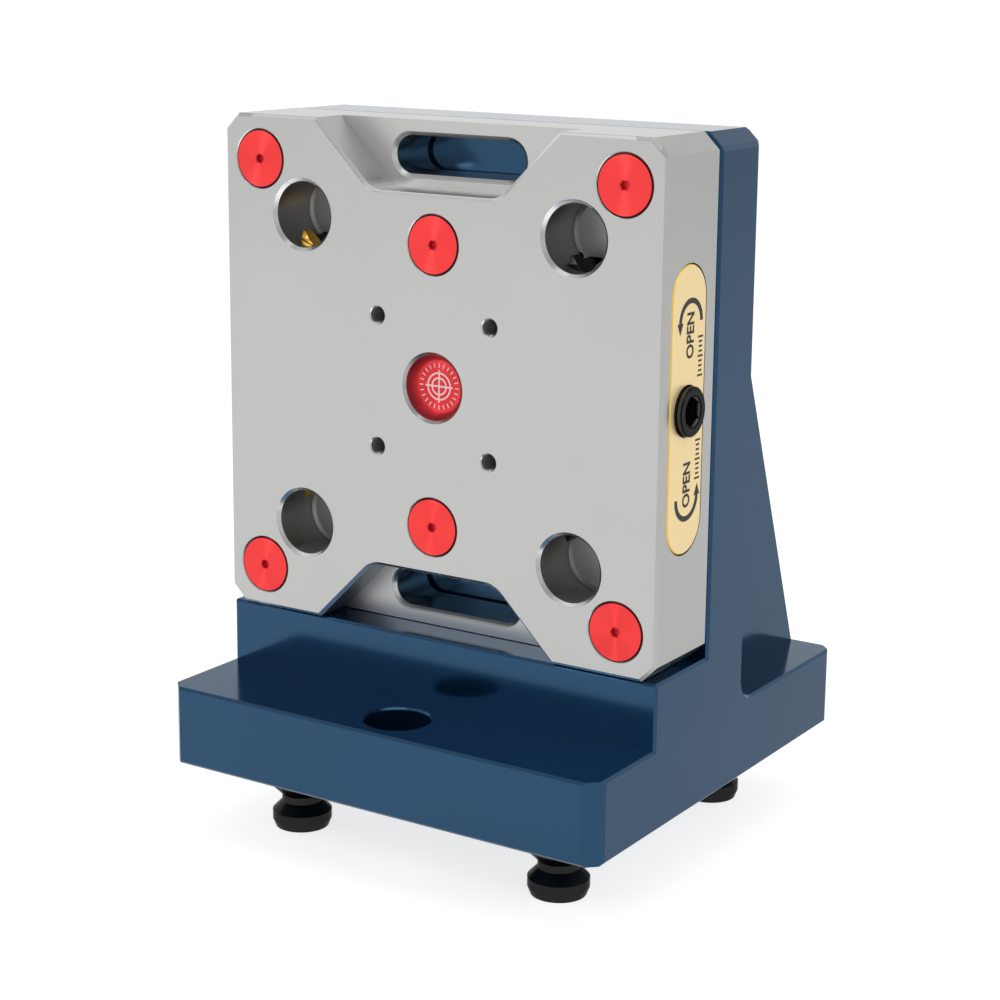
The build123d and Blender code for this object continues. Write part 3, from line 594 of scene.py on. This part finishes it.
plateSteel = platedSteel()
finishes = [
    (anodisedAluminium(), ["fixture_body"]),
    (plateSteel, ["receiver_plate"]),
    (groundSteel("groundCoverSteel"), ["mechanism_cover"]),
    (groundSteel("groundPinSteel"), ["dowel_pins"]),
    (groundSteel("hardenedNutSteel"), ["wedge_nut_left", "wedge_nut_right"]),
    (blackOxide("blackOxideSteel"), ["cover_screws", "plate_screws", "screw_gland"]),
    (blackOxide("blackOxideScrewHead", headPaintedLight), ["actuating_screw"]),
    (blackOxide("blackOxideJaw"), ["jaw_upper_right", "jaw_lower_right"]),
    (blackOxide("polishedBlackStud"), [name for name in nodes if name.startswith("pull_stud_")]),
    (hardCoatedSteel(), ["jaw_upper_left", "jaw_lower_left"]),
    (bearingBronze(), ["thrust_washers", "screw_end_bush"]),
    (sealRubber(), ["gland_seal", "cap_seals"]),
    (goldAnodised(), ["side_plaque"]),
    (redAnodised("redAnodisedDish", dishFinish, sizeOf("centre_cap"), dishPaintedLight), ["centre_cap"]),
    (
        redAnodised("redAnodisedCap", capFinish, sizeOf("cap_upper_left"), capPaintedShade),
        [name for name in nodes if name.startswith("cap_") and name != "cap_seals"],
    ),
]
for finish, names in finishes:
    for name in names:
        nodes[name].data.materials.clear()
        nodes[name].data.materials.append(finish)
print("finishes:", len(finishes), "materials on", sum(len(names) for finish, names in finishes), "pieces")


# new pieces

sideAxes = Matrix(((0, 0, 1, 0), (1, 0, 0, 0), (0, 1, 0, 0), (0, 0, 0, 1)))  # X back, Y up, Z out of the side
frontAxes = Matrix(((1, 0, 0, 0), (0, 0, -1, 0), (0, 1, 0, 0), (0, 0, 0, 1)))  # X right, Y up, Z out in front


def addObject(name, data):
    thing = bpy.data.objects.new(name, data)
    bpy.context.scene.collection.objects.link(thing)
    return thing


def addPiece(form, name, place, finish, body, smooth=False):
    bmesh.ops.remove_doubles(form, verts=form.verts, dist=mm(0.0005))  # only corners that coincide
    bmesh.ops.recalc_face_normals(form, faces=form.faces)
    form.transform(place)
    mesh = bpy.data.meshes.new(name)
    form.to_mesh(mesh)
    form.free()
    mesh.materials.append(finish)
    if smooth:
        for face in mesh.polygons:
            face.use_smooth = True
    piece = addObject(name, mesh)
    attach(piece, body)


def slab(form, outline, low, high):  # a flat shape from its outline, low and high along the local Z
    bottom = [form.verts.new((x, y, low)) for x, y in outline]
    top = [form.verts.new((x, y, high)) for x, y in outline]
    form.faces.new(bottom[::-1])
    form.faces.new(top)
    for i in range(len(outline)):
        j = (i + 1) % len(outline)
        form.faces.new((bottom[i], bottom[j], top[j], top[i]))


def sweptFaces(form, rows, closed):  # four-sided tube through these rows of four points
    for a, b in list(zip(rows, rows[1:])) + ([(rows[-1], rows[0])] if closed else []):
        for i in range(4):
            j = (i + 1) % 4
            form.faces.new((a[i], a[j], b[j], b[i]))
    if not closed:
        form.faces.new(rows[0][::-1])
        form.faces.new(rows[-1])


def band(form, middle, radius, width, start, end, low, high, steps):  # a flat arc, angles in degrees
    inner, outer = radius - width / 2, radius + width / 2
    closed = abs(end - start) >= 360
    rows = []
    for i in range(steps if closed else steps + 1):
        angle = radians(start + (end - start) * i / steps)
        corners = ((inner, low), (outer, low), (outer, high), (inner, high))
        rows.append([
            form.verts.new((middle[0] + r * cos(angle), middle[1] + r * sin(angle), z)) for r, z in corners
        ])
    sweptFaces(form, rows, closed)


def bar(form, start, end, width, low, high):
    a, b = Vector(start), Vector(end)
    side = (b - a).normalized().orthogonal() * width / 2
    slab(form, [a - side, b - side, b + side, a + side], low, high)


def wordInto(form, word, middle, length, height, boldness, low, high):
    # Reads upward: the word's own X goes along the local Y
    text = bpy.data.curves.new(word, "FONT")
    text.body = word
    text.size = 1.0
    text.offset = boldness
    text.extrude = 0.5
    text.resolution_u = 4
    holder = addObject(word, text)
    bpy.context.view_layer.update()
    mesh = bpy.data.meshes.new_from_object(holder.evaluated_get(bpy.context.evaluated_depsgraph_get()))
    xs = [v.co.x for v in mesh.vertices]
    ys = [v.co.y for v in mesh.vertices]
    alongScale = length / (max(xs) - min(xs))
    upScale = height / (max(ys) - min(ys))
    for v in mesh.vertices:
        along = (v.co.x - (max(xs) + min(xs)) / 2) * alongScale
        up = (v.co.y - (max(ys) + min(ys)) / 2) * upScale
        v.co = (middle[0] - up, middle[1] + along, high if v.co.z > 0 else low)
    form.from_mesh(mesh)
    bpy.data.objects.remove(holder)
    bpy.data.curves.remove(text)
    bpy.data.meshes.remove(mesh)


# Markings on the side plaque: the word OPEN twice, two arrows the way the screw opens, and plain ticks
plaqueMarks = {
    "sink": 0.01,  # how far the paint goes below the face, and how far it stands over it
    "thickness": 0.03,
    "wordAt": 21.6,  # middle of each word above or below the screw's axis
    "wordShift": 0.8,
    "wordLength": 13.2,
    "wordHeight": 4.4,
    "boldness": 0.03,
    "arcAt": 25.3,
    "arcShift": 1.0,
    "arcRadius": 6.2,
    "arcWidth": 1.6,
    "arcStart": -1,
    "arcEnd": 178,
    "arcSteps": 36,
    "headLength": 3.2,
    "headHalf": 1.7,
    "headOverlap": 0.25,  # of the arrow's head and its arc
    "headRaise": 0.006,  # keeps the head's face clear of the arc's
    "ticks": (9.4, 20.6, 9),  # first, last and count
    "tickAt": 7.0,
    "tickShort": 2.0,
    "tickLong": 3.0,
    "longEvery": 4,
    "tickWidth": 0.6,
}


def plaqueMarking():
    marks = plaqueMarks
    form = bmesh.new()
    low, high = -mm(marks["sink"]), mm(marks["thickness"])
    first, last, count = marks["ticks"]
    for turn in (1, -1):  # the lower arrow is the upper one turned half round
        middle = (mm(marks["arcShift"]), turn * mm(marks["arcAt"]))
        start = marks["arcStart"] if turn > 0 else marks["arcStart"] + 180
        end = start + marks["arcEnd"] - marks["arcStart"]
        radius, width = mm(marks["arcRadius"]), mm(marks["arcWidth"])
        band(form, middle, radius, width, start, end, low, high, marks["arcSteps"])
        tip = Vector(middle) - turn * Vector((radius, mm(marks["headLength"])))
        half = turn * mm(marks["headHalf"])
        base = middle[1] + turn * mm(marks["headOverlap"])
        head = [(tip.x - half, base), tip, (tip.x + half, base)]
        slab(form, head, low, high + mm(marks["headRaise"]))
        wordInto(
            form, "OPEN", (mm(marks["wordShift"]), turn * mm(marks["wordAt"])),
            mm(marks["wordLength"]), mm(marks["wordHeight"]), marks["boldness"], low, high,
        )
        for i in range(count):
            z = turn * mm(first + (last - first) * i / (count - 1))
            half = mm(marks["tickShort"] if i % marks["longEvery"] else marks["tickLong"]) / 2
            x = mm(marks["tickAt"])
            bar(form, (x - half, z), (x + half, z), mm(marks["tickWidth"]), low, high)
    place = Matrix.Translation((plaqueHigh.x, screwMiddle.y, screwMiddle.z)) @ sideAxes
    addPiece(form, "plaqueMarking", place, filledInk("blackFilledEngraving"), "base")


plaqueMarking()

# Mark on the floor of the centre cap: two circles with a cross, and a ring of plain ticks
centreMark = {
    "sink": 0.01,
    "thickness": 0.04,
    "floorDepth": 3.7,  # behind the plate's front face
    "circles": (4.0, 2.5),
    "circleSteps": 64,
    "lineWidth": 0.5,
    "crossReach": 4.9,
    "crossRaise": (0.006, 0.015),  # keeps the bars' faces clear of the circles' and of each other
    "tickInner": 5.7,
    "tickOuter": 7.0,
    "tickCount": 24,
    "tickWidth": 0.34,
}


def centreMarking():
    marks = centreMark
    form = bmesh.new()
    low, high = -mm(marks["sink"]), mm(marks["thickness"])
    width = mm(marks["lineWidth"])
    for radius in marks["circles"]:
        band(form, (0, 0), mm(radius), width, 0, 360, low, high, marks["circleSteps"])
    for way, lift in zip((Vector((1, 0)), Vector((0, 1))), marks["crossRaise"]):
        reach = way * mm(marks["crossReach"])
        bar(form, -reach, reach, width, low, high + mm(lift))
    for i in range(marks["tickCount"]):
        angle = 2 * pi * i / marks["tickCount"]
        way = Vector((cos(angle), sin(angle)))
        inner, outer = way * mm(marks["tickInner"]), way * mm(marks["tickOuter"])
        bar(form, inner, outer, mm(marks["tickWidth"]), low, high)
    place = Matrix.Translation((0, plateLow.y + mm(marks["floorDepth"]), plateMiddle.z)) @ frontAxes
    addPiece(form, "centreMarking", place, filledInk("paleFilledEngraving"), "base")


centreMarking()

# Thread ridges in the four tapped holes of the plate's face
faceThread = {
    "pitch": 1.0,
    "root": 2.505,
    "crest": 2.2,
    "rootHalf": 0.42,  # half widths, as shares of the pitch
    "crestHalf": 0.06,
    "start": 0.9,  # in from the face
    "depth": 11.0,
    "steps": 28,  # per turn
    "fadeSteps": 10,  # over which a ridge rises at its start, and sinks at its end
    "leastRise": 0.02,
}


def faceThreads():
    thread = faceThread
    form = bmesh.new()
    at = plateFinish["holes"]["at"]
    root, rise = thread["root"], thread["root"] - thread["crest"]
    wide, narrow = thread["rootHalf"] * thread["pitch"], thread["crestHalf"] * thread["pitch"]
    count = int((thread["depth"] - thread["start"]) / thread["pitch"] * thread["steps"])
    for x, z in ((-1, -1), (-1, 1), (1, -1), (1, 1)):
        rows = []
        for i in range(count + 1):
            angle = -2 * pi * i / thread["steps"]  # right-handed going in
            depth = thread["start"] + thread["pitch"] * i / thread["steps"]
            fade = min(1, i / thread["fadeSteps"], (count - i) / thread["fadeSteps"])
            crest = root - rise * max(fade, thread["leastRise"])
            rows.append([
                form.verts.new((
                    mm(x * at + radius * cos(angle)),
                    mm(z * at + radius * sin(angle)),
                    -mm(depth + shift),
                ))
                for radius, shift in ((root, -wide), (crest, -narrow), (crest, narrow), (root, wide))
            ])
        sweptFaces(form, rows, closed=False)
    place = Matrix.Translation((0, plateLow.y, plateMiddle.z)) @ frontAxes
    addPiece(form, "faceThreads", place, plateSteel, "base", smooth=True)


faceThreads()
print("pieces added")


# room, lamps and camera

room = {
    "floor": "#A8A8A8",
    "floorRadius": 12.0,
    "floorGap": 0.05,  # in mm, below the studs
    "sockets": {"Roughness": 0.9, "Specular IOR Level": 0.0, "Emission Color": "#FFFFFF"},
    "cameraLift": 0.76,  # white that the camera sees added to the floor
    "frontLift": 0.64,  # what reflections see in front of the object, and behind and right of it
    "backLift": 0.43,
    "liftTurn": (-0.25, 0.35),  # where it goes from one to the other, in metres behind and right
    "horizon": 1.0,
    "zenith": 0.62,
    "zenithFrom": 0.9,  # upward part of the direction from which the sky has the zenith's level
    "backShare": 0.02,  # how much darker the sky is behind the object than in front
}


def floorMaterial():
    # White studio floor: plain matt, lifted for the camera and in reflections, with a soft shadow kept
    material, tree = startMaterial("studioFloor")
    path = addNode(tree, "ShaderNodeLightPath").outputs
    place = addNode(tree, "ShaderNodeTexCoord").outputs["Object"]
    parts = addNode(tree, "ShaderNodeSeparateXYZ", {0: place}).outputs
    across = addNode(tree, "ShaderNodeMath", {0: parts["X"], 1: parts["Y"]}, operation="ADD")
    sockets = {
        "Value": across.outputs[0],
        "From Min": room["liftTurn"][0],
        "From Max": room["liftTurn"][1],
        "To Min": room["frontLift"],
        "To Max": room["backLift"],
    }
    reflected = addNode(tree, "ShaderNodeMapRange", sockets, interpolation_type="SMOOTHSTEP")
    sockets = {0: path["Is Glossy Ray"], 1: path["Is Transmission Ray"]}
    mirror = addNode(tree, "ShaderNodeMath", sockets, operation="MAXIMUM")
    mirrored = allOf(tree, mirror.outputs[0], reflected.outputs[0])
    sockets = {0: path["Is Camera Ray"], 1: room["cameraLift"], 2: mirrored}
    lift = addNode(tree, "ShaderNodeMath", sockets, operation="MULTIPLY_ADD")
    return finishMaterial(material, room, room["floor"], links={"Emission Strength": lift.outputs[0]})


def makeFloor():
    form = bmesh.new()
    bmesh.ops.create_circle(form, cap_ends=True, radius=room["floorRadius"], segments=96)
    mesh = bpy.data.meshes.new("floor")
    form.to_mesh(mesh)
    form.free()
    mesh.materials.append(floorMaterial())
    floor = addObject("floor", mesh)
    floor.location = (0, 0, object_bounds()[0][2] - mm(room["floorGap"]))


def makeWorld():
    world = bpy.data.worlds.new("whiteRoom")
    bpy.context.scene.world = world
    world.use_nodes = True
    tree = world.node_tree
    tree.nodes.clear()
    place = addNode(tree, "ShaderNodeTexCoord").outputs["Generated"]
    parts = addNode(tree, "ShaderNodeSeparateXYZ", {0: place}).outputs
    sockets = {
        "Value": parts["Z"],
        "From Min": 0.0,
        "From Max": room["zenithFrom"],
        "To Min": room["horizon"],
        "To Max": room["zenith"],
    }
    height = addNode(tree, "ShaderNodeMapRange", sockets, interpolation_type="SMOOTHSTEP")
    behind = 1.0 - room["backShare"]
    sockets = {"Value": parts["Y"], "From Min": -1.0, "From Max": 1.0, "To Min": 1.0, "To Max": behind}
    around = addNode(tree, "ShaderNodeMapRange", sockets)
    seen = addNode(tree, "ShaderNodeLightPath").outputs["Is Camera Ray"]
    sockets = {0: allOf(tree, height.outputs[0], around.outputs[0]), 1: seen}
    white = addNode(tree, "ShaderNodeMath", sockets, operation="MAXIMUM")
    light = addNode(tree, "ShaderNodeBackground", {"Color": "#FFFFFF", "Strength": white.outputs[0]})
    addNode(tree, "ShaderNodeOutputWorld", {"Surface": light.outputs[0]})


lamps = {
    "keyLamp": {"place": (-0.85, -1.33, 1.1), "size": 0.6, "watts": 8},
    "topLamp": {"place": (0.15, 0.1, 1.5), "size": 1.5, "watts": 6},
    "sideLamp": {"place": (1.5, 0.3, 0.8), "size": 1.0, "watts": 7},
}
lampTarget = Vector((0, 0, 0.1))


def makeLamps():
    for name, lamp in lamps.items():
        data = bpy.data.lights.new(name, "AREA")
        data.size = lamp["size"]
        data.energy = lamp["watts"]
        thing = addObject(name, data)
        thing.location = lamp["place"]
        thing.rotation_euler = (lampTarget - thing.location).to_track_quat("-Z", "Y").to_euler()


photoCamera = {
    "place": (0.36894, -0.57927, 0.24839),
    "turn": (77.7093, -0.6456, 32.6105),  # degrees
    "focal": 2233.48,  # in pixels of the 1000 pixel frame
    "centre": (515.03, 440.76),  # the lens axis in that frame
    "frame": 1000,
    "sensor": 36,
}


def makeCamera():
    frame, (across, down) = photoCamera["frame"], photoCamera["centre"]
    lens = bpy.data.cameras.new("photoCamera")
    lens.sensor_width = photoCamera["sensor"]
    lens.lens = photoCamera["sensor"] * photoCamera["focal"] / frame
    lens.shift_x = 0.5 - across / frame
    lens.shift_y = down / frame - 0.5
    lens.clip_start = 0.01
    lens.clip_end = 100
    thing = addObject("photoCamera", lens)
    thing.location = photoCamera["place"]
    thing.rotation_euler = [radians(angle) for angle in photoCamera["turn"]]
    bpy.context.scene.camera = thing


makeFloor()
makeWorld()
makeLamps()
makeCamera()
bpy.context.scene.view_settings.view_transform = "Standard"
print("room, lamps and camera ready")
